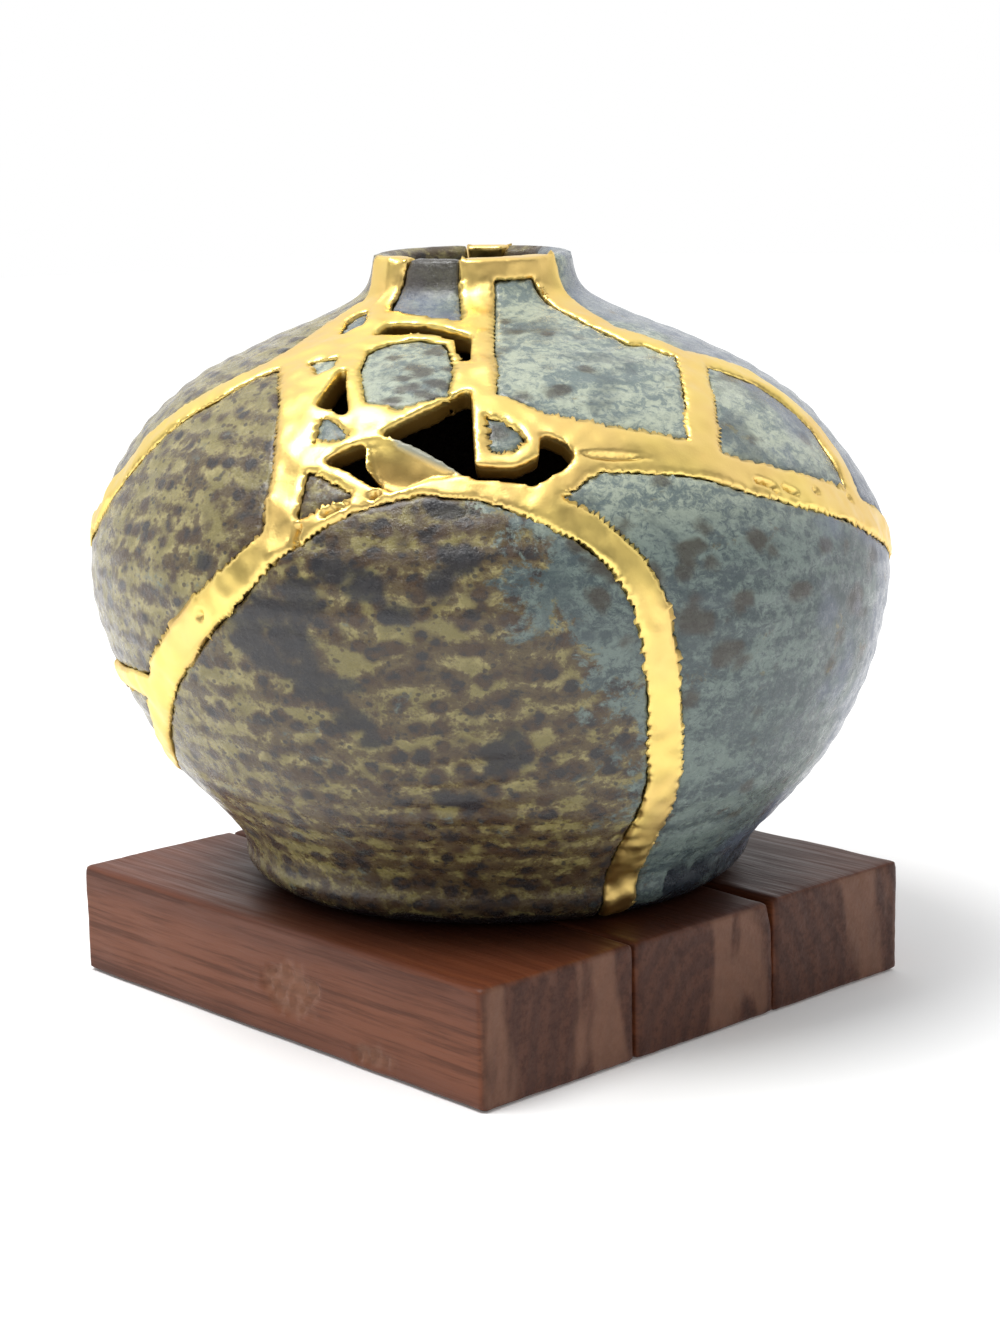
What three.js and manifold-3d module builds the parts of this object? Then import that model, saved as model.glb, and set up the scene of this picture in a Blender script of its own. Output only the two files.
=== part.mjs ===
// Mended stoneware vase on a block of three boards, in millimetres, +Z up.
// The origin is on the ground under the middle of the belly. The boards run along X.
// Places on the wall are given as [degrees round from the front, millimetres up the outer wall].
import * as THREE from 'three';
import { mergeVertices } from 'three/addons/utils/BufferGeometryUtils.js';
import Module from 'manifold-3d';

const wasm = await Module();
wasm.setup();

// Base block
const BOARD_LENGTH = 159;
const BOARD_WIDTH = 50;
const BOARD_HEIGHT = 30;
const BOARD_GAP = 0.4;
const LOW_BOARD_DROP = 0.5;
const EDGE_ROUND = 1.5;
const END_ARRIS = 2;

// Vessel
const VASE_HEIGHT = 160;
const WALL = 5.5;
const FOOT_RADIUS = 60;
const FOOT_RING_INNER = 51;
const FOOT_RECESS = 2;
const FLOOR_TOP = 8;
const FLOOR_RADIUS = 60;
const LIP_CROWN = 1.2;
const LIP_SHOULDER = 0.7;
const FOOT_ROLL = 9;
const SEGMENTS = 32;
const BODY_RING_STEP = 24;
const NECK_RING_STEP = 9;
const NECK_START = 176;
const FRONT_AZIMUTH = 47.7;

// The thrown body leans to the left, its foot swells back to the left, and its mouth tips forward
const FOOT_SHIFT = 5.8;
const FOOT_SWELL = 2.65;
const SWELL_BOTTOM = 4;
const SWELL_TOP = 20.6;
const SHIFT_END = 130;
const SHIFT_POWER = 1.6;
const BELLY_HEIGHT = 82;
const MOUTH_TIP = 3;
const MOUTH_TIP_START = 135;

// Seams of gold: how far each stands out of the wall, and of the cut that makes room for it.
// SEAM_SCALE is the millimetres of the curves' plane for each degree round the wall.
const GAP = 0.4;
const ISLAND_GAP = 0.6;
const SEAM = { out: 0.8, inward: 0.5, top: 0.5 };
const FIELD_FACE = { out: 0.2, inward: 0 };
const CUT_REACH = 4;
const BODY_SEAM_STEP = 24;
const NECK_SEAM_STEP = 10;
const FOOT_SEAM_STEP = 14;
const SEAM_SCALE = 1.5;
const FLOOR_SEAM_WIDTH = 7;
const FLOOR_SEAM_ANGLE = 27;
const FLOOR_CUT_BEYOND = 6;
const FLOOR_CUT_CLEAR = 1;

// Vertices nearer than this are one
const MERGE_DISTANCE = 1e-4;
const PROBE_SIZE = 1;

// Outer outline of the wall: radius and height above the foot
const outline = new THREE.SplineCurve([
  [FOOT_RADIUS, 0], [66, 5], [68, 12], [76.5, 22], [86.6, 34], [94.2, 48], [99.6, 62],
  [102.8, 78], [101.9, 91], [97.3, 102], [91, 112], [82.4, 122], [70.5, 131], [56.5, 138],
  [41.6, 144], [31, 149], [27, 153], [25.4, VASE_HEIGHT],
].map(([radius, height]) => new THREE.Vector2(radius, height)));
outline.arcLengthDivisions = 600;
const WALL_LENGTH = outline.getLength();
const RIM = 212;
const ABOVE_RIM = RIM + 6;

// Each seam: [degrees, millimetres up the wall, width]
const SEAMS = {
  leftNeck: [[-58, ABOVE_RIM, 8], [-57.5, 200, 8], [-57.5, 190, 7], [-51, 176, 7]],
  leftShoulder: [
    [-51, 180, 7], [-51, 165, 7], [-57, 154, 7], [-64, 143, 7], [-71, 126, 7], [-78, 112, 7],
    [-90, 102, 7], [-104, 95, 6.5], [-126, 91, 6], [-153, 88, 6],
  ],
  leftUpright: [[-49, 173, 9], [-40, 163, 9], [-35, 154, 8.5], [-31, 143, 8], [-29.3, 128, 7], [-29, 112, 7]],
  lowerLeft: [
    [-29, 113, 7], [-36, 101, 8], [-45, 88, 8.5], [-57, 71, 9], [-65, 57, 7.5], [-75, 45, 6.5],
    [-100, 34, 6], [-128, 30, 6], [-151, 28, 6],
  ],
  leftBranch: [
    [-56, 72, 6], [-66, 72, 5.5], [-80, 70, 5.5], [-100, 64, 5.5], [-125, 60, 6], [-147, 62, 6],
  ],
  frontArch: [
    [-29, 112, 6.5], [-18, 124, 5], [-6, 127.5, 4], [4, 124, 5.5], [11, 118.5, 7], [17, 109, 7],
    [20, 98, 7], [21.5, 82, 7], [23, 62, 7.5], [24.5, 46, 8], [23.5, 34, 8], [24.5, 18, 8],
    [27, 2, 7.5],
  ],
  upperBand: [[3, 151, 6], [8, 145, 6], [16, 141, 5], [24, 137, 5], [34, 131, 8]],
  lowerBand: [[7, 123, 5], [11, 129, 4], [17, 132, 4], [25, 132, 5], [34, 130, 8]],
  rightBand: [
    [32, 131, 8], [42, 124.5, 8], [52, 119, 8.5], [64, 112, 8.5], [78, 102, 8], [96, 94, 7],
    [122, 91, 6.5], [153, 93, 6],
  ],
  rightUpright: [[56, 165, 6.5], [45, 151, 7], [39, 142, 7], [35.5, 132, 7]],
  rightNeck: [[44, ABOVE_RIM, 9], [45, 202, 8.5], [46, 188, 6.5], [47, 174, 6]],
  rightShoulder: [
    [47, 183, 6], [49, 174, 6.5], [54, 166, 7], [60.5, 160, 7.5], [68, 153, 8], [72, 143, 8],
    [71, 132, 7.5], [68, 122, 7], [66, 111, 7],
  ],
  frontNeck: [[1, ABOVE_RIM, 9], [2, 202, 8], [1.5, 186, 6.5], [1.5, 170, 6], [1, 152, 6]],
  lip: [[-2, RIM, 8], [12, RIM, 8], [30, RIM, 8], [46, RIM, 8]],
  backNeck: [[169, ABOVE_RIM, 13], [171, 202, 9], [174, 190, 7], [174, 170, 6.5]],
  backShoulder: [[175, 176, 6.5], [170, 158, 6.5], [163, 138, 6.5], [155, 114, 6], [149, 90, 6]],
  backBand: [[147, 94, 6], [170, 88, 6], [190, 85, 6], [213, 88, 6]],
  backUpright: [[209, 92, 6], [212, 70, 6], [214, 50, 6.5], [209, 28, 7], [207, 2, 7]],
};

// The gold field round the openings; its outline runs along the middles of the seams about it
const FIELD = [
  [-57, RIM + 3], [-57, 190], [-50, 175], [-40, 163], [-31, 143], [-29, 114], [-18, 123.5],
  [-6, 127], [4, 124], [9, 122], [13, 131], [24, 133], [30, 133], [16, 141], [8, 145], [3, 151],
  [3, RIM + 3],
];

// Small shards standing in the gold field
const ISLANDS = {
  shard_neck_front: [
    [-38, 197.5], [-42, 204.5], [-40, RIM], [-33, ABOVE_RIM], [-9, ABOVE_RIM], [-7, 203],
    [-4.5, 191.5], [-18, 194.5],
  ],
  shard_oval: [
    [-28, 174.5], [-24, 179.5], [-16, 182], [-8, 179], [-4.5, 166], [-5, 154], [-14, 149],
    [-20, 151.5], [-25, 163],
  ],
  shard_left_sliver: [[-46, 183.5], [-52, 190.5], [-51.5, 197], [-42.5, 190]],
  shard_left_chip: [[-41.5, 167.5], [-34, 170.8], [-32.5, 165], [-34.5, 161.5]],
  shard_upper_triangle: [[-27, 147.3], [-20, 141], [-23, 138.8], [-26.8, 138.2]],
  shard_lower_triangle: [[-26.3, 131], [-18, 124.6], [-26.3, 117.8]],
  shard_centre_small: [[0.9, 146.5], [4.2, 145], [6.8, 141.3], [6.8, 137.8], [4, 135], [1.2, 136.3]],
};

// Openings left where fragments are lost
const OPENINGS = {
  underNeck: [
    [-33, 184], [-32, 191], [-19, 190.5], [-10, 187], [-1, 183], [-1, 169], [-4, 169],
    [-5.5, 181], [-14, 185], [-24, 185],
  ],
  leftSlit: [[-29.5, 150], [-30, 167.5], [-26, 158], [-21.8, 146]],
  great: [
    [-16, 141], [-12.5, 145.5], [-7, 150.5], [-1, 156.5], [-1, 130.5], [-2.4, 129.3], [-8.7, 136.5],
  ],
  lowerLeft: [
    [-24.6, 133], [-21, 136.5], [-17.9, 138.8], [-17.3, 132], [-13.5, 125.8], [-16, 127],
    [-20.3, 131.2],
  ],
  lowerRight: [
    [-2, 128.5], [-1, 131.8], [5, 131.3], [8.6, 134], [9.8, 141], [12.9, 138], [14, 134.5],
    [12.3, 131], [7, 126.2], [4, 127.8],
  ],
};

// A point well inside each large shard
const LARGE_SHARDS = {
  shard_front_belly: [-10, 60],
  shard_right_body: [60, 60],
  shard_left_shoulder: [-50, 115],
  shard_right_neck: [22, 170],
  shard_right_shoulder: [50, 138],
  shard_back_left_shoulder: [-120, 150],
  shard_back_right_shoulder: [110, 150],
  shard_left_heel: [-100, 50],
};

// Depths of the layers of a seam's bar and of the deeper bar that cuts its room
const SEAM_DEPTHS = [WALL + SEAM.inward, -SEAM.out];
const CUT_DEPTHS = [WALL + CUT_REACH, ...SEAM_DEPTHS, -CUT_REACH];

const rad = THREE.MathUtils.degToRad;
const toRight = new THREE.Vector2(Math.cos(rad(FRONT_AZIMUTH)), Math.sin(rad(FRONT_AZIMUTH)));
const toBack = new THREE.Vector2(-toRight.y, toRight.x);

// Sideways place of the vase's centre line at a height above its foot
function shiftAt(height) {
  const along = THREE.MathUtils.clamp(height / SHIFT_END, 0, 1);
  const swell = 1 - THREE.MathUtils.smoothstep(height, SWELL_BOTTOM, SWELL_TOP);
  return FOOT_SHIFT * (1 - along ** SHIFT_POWER) - FOOT_SWELL * swell;
}

const BELLY_SHIFT = shiftAt(BELLY_HEIGHT);

// Moves a point of the straight turned vase to where the leaning one has it
function lean(point) {
  const shift = shiftAt(point.z) - BELLY_SHIFT;
  const tipped = THREE.MathUtils.clamp((point.z - MOUTH_TIP_START) / (VASE_HEIGHT - MOUTH_TIP_START), 0, 1);
  const depth = point.x * toBack.x + point.y * toBack.y;
  point.z += BOARD_HEIGHT + depth * Math.tan(rad(MOUTH_TIP)) * tipped;
  point.x += toRight.x * shift;
  point.y += toRight.y * shift;
  return point;
}

// Radius and height at a distance up the wall, a depth below its outer face
function wallSection(along, depth) {
  const inside = THREE.MathUtils.clamp(along / WALL_LENGTH, 0, 1);
  const point = outline.getPointAt(inside);
  const tangent = outline.getTangentAt(inside);
  const beyond = along - inside * WALL_LENGTH;
  return new THREE.Vector2(
    point.x + tangent.x * beyond - tangent.y * depth,
    point.y + tangent.y * beyond + tangent.x * depth,
  );
}

// Point of the wall in space
function wallPoint(degrees, along, depth) {
  const section = wallSection(along, depth);
  const turn = rad(FRONT_AZIMUTH + degrees);
  return lean(new THREE.Vector3(section.x * Math.sin(turn), -section.x * Math.cos(turn), section.y));
}

// Millimetres round the outer wall for one degree, at a distance up the wall
function degreeAt(along) {
  return rad(1) * wallSection(along, 0).x;
}

// Moves every vertex of a geometry by a function of its place
function bend(geometry, move) {
  const places = geometry.attributes.position;
  const point = new THREE.Vector3();
  for (let i = 0; i < places.count; i += 1) {
    point.fromBufferAttribute(places, i);
    const moved = move(point.clone());
    places.setXYZ(i, moved.x, moved.y, moved.z);
  }
  return geometry;
}

function solidOf(vertices, triangles) {
  return new wasm.Manifold(new wasm.Mesh({
    numProp: 3,
    vertProperties: new Float32Array(vertices),
    triVerts: new Uint32Array(triangles),
  }));
}

// A solid of a closed geometry, its faces turned outward
function toSolid(geometry) {
  const plain = geometry.clone();
  plain.deleteAttribute('normal');
  plain.deleteAttribute('uv');
  const merged = mergeVertices(plain, MERGE_DISTANCE);
  const vertices = merged.attributes.position.array;
  const triangles = merged.index.array;
  const solid = solidOf(vertices, triangles);
  return solid.volume() < 0 ? solidOf(vertices, triangles.toReversed()) : solid;
}

function toGeometry(solid) {
  const mesh = solid.getMesh();
  const geometry = new THREE.BufferGeometry();
  geometry.setAttribute('position', new THREE.BufferAttribute(mesh.vertProperties, 3));
  geometry.setIndex(new THREE.BufferAttribute(mesh.triVerts, 1));
  geometry.computeVertexNormals();
  return geometry;
}

function joinAll(solids) {
  return solids.reduce((whole, next) => whole.add(next));
}

// Places up the wall where the turned vessel has its rings, closer together at the foot and neck
function ringPlaces() {
  const places = [0, FOOT_ROLL];
  const bodySteps = Math.round(NECK_START / BODY_RING_STEP);
  const neckSteps = Math.round((WALL_LENGTH - NECK_START) / NECK_RING_STEP);
  for (let i = 1; i < bodySteps; i += 1) places.push((i / bodySteps) * NECK_START);
  for (let i = 0; i <= neckSteps; i += 1) {
    places.push(NECK_START + (i / neckSteps) * (WALL_LENGTH - NECK_START));
  }
  return places;
}

const RINGS = ringPlaces();

// The whole turned vessel, its wall thickened by the given amounts
function turnedVessel(out, inward) {
  const points = [new THREE.Vector2(0, FOOT_RECESS - inward)];
  points.push(new THREE.Vector2(FOOT_RING_INNER - inward, FOOT_RECESS - inward));
  points.push(new THREE.Vector2(FOOT_RING_INNER - inward, 0));
  for (const along of RINGS) {
    const section = wallSection(along, -out);
    points.push(new THREE.Vector2(section.x, Math.max(section.y, 0)));
  }
  points.push(wallSection(WALL_LENGTH + LIP_SHOULDER + out, WALL / 4));
  points.push(wallSection(WALL_LENGTH + LIP_CROWN + out, WALL / 2));
  points.push(wallSection(WALL_LENGTH + LIP_SHOULDER + out, (WALL * 3) / 4));
  for (const along of RINGS.toReversed()) {
    const section = wallSection(along, WALL + inward);
    if (section.y > FLOOR_TOP + inward) points.push(section);
  }
  points.push(new THREE.Vector2(FLOOR_RADIUS - inward, FLOOR_TOP + inward));
  points.push(new THREE.Vector2(0, FLOOR_TOP + inward));
  const geometry = new THREE.LatheGeometry(points, SEGMENTS);
  geometry.rotateX(Math.PI / 2);
  return toSolid(bend(geometry, lean));
}

// A bent bar that follows one seam through the wall, widened by a margin on each side
function seamBar(path, margin, depths) {
  const curve = new THREE.CatmullRomCurve3(path.map(([degrees, along, width]) => (
    new THREE.Vector3(degrees * SEAM_SCALE, along, width)
  )));
  const atNeck = path.some(([, along]) => along > NECK_START + NECK_RING_STEP);
  const atFoot = path.some(([, along]) => along < FOOT_ROLL);
  const lowStep = atFoot ? FOOT_SEAM_STEP : BODY_SEAM_STEP;
  const steps = Math.ceil(curve.getLength() / (atNeck ? NECK_SEAM_STEP : lowStep));
  const geometry = new THREE.BoxGeometry(1, 1, 1, steps, 1, depths.length - 1);
  return toSolid(bend(geometry, (corner) => {
    const way = THREE.MathUtils.clamp(corner.x + 0.5, 0, 1);
    const middle = curve.getPoint(way);
    const tangent = curve.getTangent(way);
    const perDegree = degreeAt(middle.y);
    const heading = new THREE.Vector2((tangent.x / SEAM_SCALE) * perDegree, tangent.y).normalize();
    const side = corner.y * (middle.z + 2 * margin);
    return wallPoint(
      middle.x / SEAM_SCALE - (heading.y * side) / perDegree,
      middle.y + heading.x * side,
      depths[Math.round((corner.z + 0.5) * (depths.length - 1))],
    );
  }));
}

// A prism through the wall with the given outline, moved out from its middle by a margin
function patchBar(corners, margin) {
  const outlined = corners.map(([degrees, along]) => new THREE.Vector2(degrees, along));
  const middle = new THREE.Vector2();
  for (const corner of outlined) middle.addScaledVector(corner, 1 / corners.length);
  const perDegree = degreeAt(middle.y);
  const shape = new THREE.Shape(outlined.map((corner) => {
    const away = corner.clone().sub(middle);
    const reach = Math.hypot(away.x * perDegree, away.y);
    return middle.clone().addScaledVector(away, (reach + margin) / reach);
  }));
  const geometry = new THREE.ExtrudeGeometry(shape, { depth: 1, steps: 1, bevelEnabled: false });
  return toSolid(bend(geometry, (corner) => (
    wallPoint(corner.x, corner.y, corner.z > 0.5 ? -CUT_REACH : WALL + CUT_REACH)
  )));
}

// The seam that crosses the floor between the two seams that reach the foot
function floorBar(margin, reach, low, high) {
  const geometry = new THREE.BoxGeometry(2 * reach, FLOOR_SEAM_WIDTH + 2 * margin, high - low);
  geometry.rotateZ(rad(FRONT_AZIMUTH + FLOOR_SEAM_ANGLE - 90));
  geometry.translate(0, 0, (low + high) / 2);
  return toSolid(bend(geometry, lean));
}

// Everything under the tipped plane of the mouth, as high as the gold stands on the lip
function belowMouth() {
  const size = 4 * VASE_HEIGHT;
  const geometry = new THREE.BoxGeometry(size, size, size).translate(0, 0, -size / 2);
  const hinge = new THREE.Vector3(toRight.x, toRight.y, 0);
  geometry.applyQuaternion(new THREE.Quaternion().setFromAxisAngle(hinge, rad(MOUTH_TIP)));
  return toSolid(geometry.translate(0, 0, BOARD_HEIGHT + VASE_HEIGHT + SEAM.top));
}

// All that is cut from the vessel to leave its large shards
function cuts() {
  return joinAll([
    ...Object.values(SEAMS).map((path) => seamBar(path, GAP, CUT_DEPTHS)),
    patchBar(FIELD, 0),
    floorBar(GAP, FOOT_RADIUS + FLOOR_CUT_BEYOND, -FLOOR_CUT_CLEAR, FLOOR_TOP + FLOOR_CUT_CLEAR),
  ]);
}

// The gold: its seams, the field round the openings and the seam across the floor
function goldNetwork() {
  const field = turnedVessel(FIELD_FACE.out, FIELD_FACE.inward).intersect(patchBar(FIELD, 0));
  const whole = joinAll([
    ...Object.values(SEAMS).map((path) => seamBar(path, 0, SEAM_DEPTHS)),
    field,
    floorBar(0, FOOT_RADIUS, FOOT_RECESS - SEAM.inward, FLOOR_TOP + SEAM.inward),
  ]);
  const gaps = joinAll([
    ...Object.values(ISLANDS).map((corners) => patchBar(corners, ISLAND_GAP)),
    ...Object.values(OPENINGS).map((corners) => patchBar(corners, 0)),
  ]);
  return whole.subtract(gaps).intersect(belowMouth());
}

// Whether a solid fills the middle of the wall at a place
function holds(solid, [degrees, along]) {
  const centre = wallPoint(degrees, along, WALL / 2);
  const probe = new THREE.BoxGeometry(PROBE_SIZE, PROBE_SIZE, PROBE_SIZE);
  probe.translate(centre.x, centre.y, centre.z);
  return solid.intersect(toSolid(probe)).volume() > PROBE_SIZE ** 3 / 2;
}

const glaze = new THREE.MeshStandardMaterial({ color: 0x8a8c6b, roughness: 0.35, metalness: 0 });
const gold = new THREE.MeshStandardMaterial({ color: 0xd9a92f, roughness: 0.35, metalness: 1 });
const wood = new THREE.MeshStandardMaterial({ color: 0x7a4a38, roughness: 0.7, metalness: 0 });

function piece(name, geometry, material) {
  const mesh = new THREE.Mesh(geometry, material);
  mesh.name = name;
  return mesh;
}

// One board of the base, its long edges and ends softly rounded
function board(name, place, drop) {
  const halfWidth = (BOARD_WIDTH - BOARD_GAP) / 2 - END_ARRIS;
  const low = END_ARRIS;
  const high = BOARD_HEIGHT - drop - END_ARRIS;
  const section = new THREE.Shape();
  section.moveTo(-halfWidth + EDGE_ROUND, low);
  section.lineTo(halfWidth - EDGE_ROUND, low);
  section.quadraticCurveTo(halfWidth, low, halfWidth, low + EDGE_ROUND);
  section.lineTo(halfWidth, high - EDGE_ROUND);
  section.quadraticCurveTo(halfWidth, high, halfWidth - EDGE_ROUND, high);
  section.lineTo(-halfWidth + EDGE_ROUND, high);
  section.quadraticCurveTo(-halfWidth, high, -halfWidth, high - EDGE_ROUND);
  section.lineTo(-halfWidth, low + EDGE_ROUND);
  section.quadraticCurveTo(-halfWidth, low, -halfWidth + EDGE_ROUND, low);
  const geometry = new THREE.ExtrudeGeometry(section, {
    depth: BOARD_LENGTH - 2 * END_ARRIS,
    curveSegments: 2,
    bevelSize: END_ARRIS,
    bevelThickness: END_ARRIS,
    bevelSegments: 1,
  });
  geometry.translate(0, 0, -BOARD_LENGTH / 2 + END_ARRIS);
  geometry.rotateX(Math.PI / 2);
  geometry.rotateZ(Math.PI / 2);
  const mesh = piece(name, toGeometry(toSolid(geometry)), wood);
  mesh.position.set(-toRight.x * BELLY_SHIFT, place - toRight.y * BELLY_SHIFT, 0);
  return mesh;
}

function base() {
  const group = new THREE.Group();
  group.add(board('base_board_front', -BOARD_WIDTH, LOW_BOARD_DROP));
  group.add(board('base_board_middle', 0, LOW_BOARD_DROP));
  group.add(board('base_board_back', BOARD_WIDTH, 0));
  return group;
}

function vase() {
  const group = new THREE.Group();
  const body = turnedVessel(0, 0);
  const network = goldNetwork();
  const large = body.subtract(cuts().add(network)).decompose();
  for (const [name, seed] of Object.entries(LARGE_SHARDS)) {
    const shard = large.find((solid) => holds(solid, seed));
    group.add(piece(name, toGeometry(shard), glaze));
  }
  for (const [name, corners] of Object.entries(ISLANDS)) {
    group.add(piece(name, toGeometry(body.intersect(patchBar(corners, 0))), glaze));
  }
  group.add(piece('gold_seams', toGeometry(network), gold));
  return group;
}

const model = new THREE.Group();
model.add(base(), vase());

export default model;
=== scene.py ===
"""Dresses the mended stoneware vase and its block of three boards."""
import logging
import math
from dataclasses import dataclass, field
from enum import Enum

import bmesh
import bpy
import numpy as np
from mathutils import Matrix, Vector
from mathutils.bvhtree import BVHTree


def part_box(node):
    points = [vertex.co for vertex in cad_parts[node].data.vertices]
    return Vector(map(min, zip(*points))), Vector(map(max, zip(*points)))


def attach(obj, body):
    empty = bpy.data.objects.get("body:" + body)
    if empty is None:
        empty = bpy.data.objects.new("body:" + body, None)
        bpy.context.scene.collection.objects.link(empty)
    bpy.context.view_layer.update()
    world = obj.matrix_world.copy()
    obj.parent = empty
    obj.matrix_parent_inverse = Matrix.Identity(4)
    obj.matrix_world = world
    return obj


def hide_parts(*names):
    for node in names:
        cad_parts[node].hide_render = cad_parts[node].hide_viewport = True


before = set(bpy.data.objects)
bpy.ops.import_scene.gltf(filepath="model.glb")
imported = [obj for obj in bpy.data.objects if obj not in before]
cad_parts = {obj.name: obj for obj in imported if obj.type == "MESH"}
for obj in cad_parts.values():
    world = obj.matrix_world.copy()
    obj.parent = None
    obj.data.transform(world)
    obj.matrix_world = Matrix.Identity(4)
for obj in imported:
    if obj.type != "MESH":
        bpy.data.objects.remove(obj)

log = logging.getLogger("vase")
MM = 0.001
FRONT_AZIMUTH = math.radians(47.7)
TO_RIGHT = np.array([math.cos(FRONT_AZIMUTH), math.sin(FRONT_AZIMUTH), 0.0])
TO_BACK = np.array([-math.sin(FRONT_AZIMUTH), math.cos(FRONT_AZIMUTH), 0.0])

# Millimetres: vertices nearer than this are one, and the longest edge left before a piece is remeshed
DOUBLES = 0.004
COARSE_EDGE = 4.0
SPLIT_ROUNDS = 6

# A face looks straight out of the wall past this cosine; the depths part its outer from its inner face
FACING_WALL = 0.6
OUTER_DEPTH = 2.5
INNER_DEPTH = 9.0
INNER_START = 9.0
RIM_MARGIN = 0.3


class Slot(Enum):
    """The part's material slots."""

    GLAZE = "glaze"
    GOLD = "gold"
    WOOD = "wood"


def smooth(low: float, high: float, value: np.ndarray) -> np.ndarray:
    """Runs softly from 0 at low to 1 at high."""
    along = np.clip((value - low) / (high - low), 0.0, 1.0)
    return along * along * (3.0 - 2.0 * along)


@dataclass(frozen=True)
class Ripple:
    """A smooth random field: a sum of seeded waves.

    Attributes:
        seed: start of the random draws.
        length: usual wavelength, in the units of the points.
        waves: how many waves are added.
    """

    seed: int
    length: float
    waves: int = 24

    def at(self, points: np.ndarray) -> np.ndarray:
        """Gives the field at each point.

        Args:
            points: places, one row each.

        Returns:
            Values that mostly lie between -1 and 1.
        """
        draw = np.random.default_rng(self.seed)
        total = np.zeros(len(points))
        for _ in range(self.waves):
            heading = draw.normal(size=points.shape[1])
            heading *= draw.uniform(0.6, 1.6) * 2 * math.pi / (self.length * np.linalg.norm(heading))
            total += np.sin(points @ heading + draw.uniform(0, 2 * math.pi))
        return total * math.sqrt(2.0 / self.waves) * 0.7


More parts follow.
